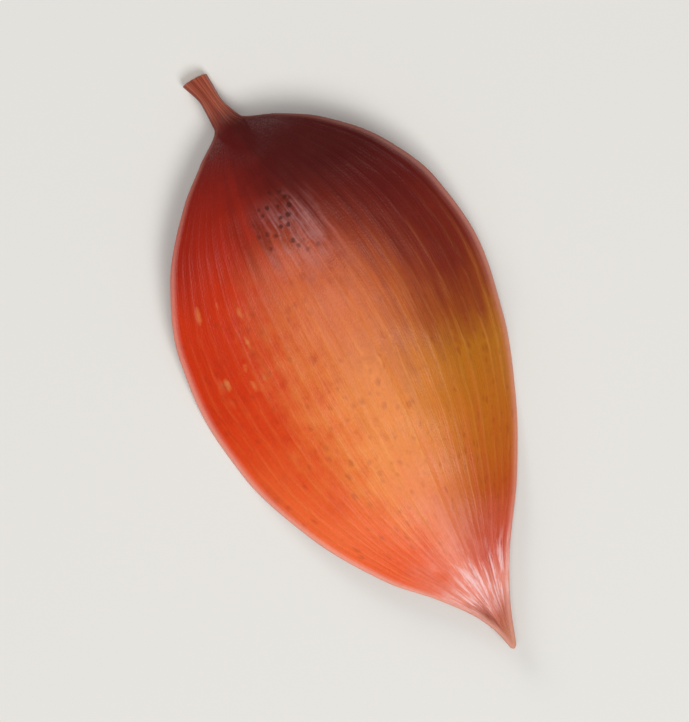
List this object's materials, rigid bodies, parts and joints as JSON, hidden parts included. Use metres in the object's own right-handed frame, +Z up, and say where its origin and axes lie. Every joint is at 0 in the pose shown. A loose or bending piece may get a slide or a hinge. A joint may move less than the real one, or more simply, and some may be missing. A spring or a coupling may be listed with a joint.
{
  "type": "autumn leaf",
  "caption": "Single picked leathery leaf in red, orange and gold autumn colours, gently domed, with a pointed tip and a short petiole.",
  "frame": {"origin": "on the surface that the leaf lies on, under the middle of the leaf's box", "axes": "+Y from the petiole's cut end to the tip, +X towards the broader half, +Z up from the surface, out of the leaf's upper face"},
  "size_m": [0.0372, 0.0742, 0.0072],
  "materials": {
    "leaf_skin": "satin"
  },
  "bodies": {
    "root": {"leaf": "leaf_skin"}
  },
  "joints": []
}
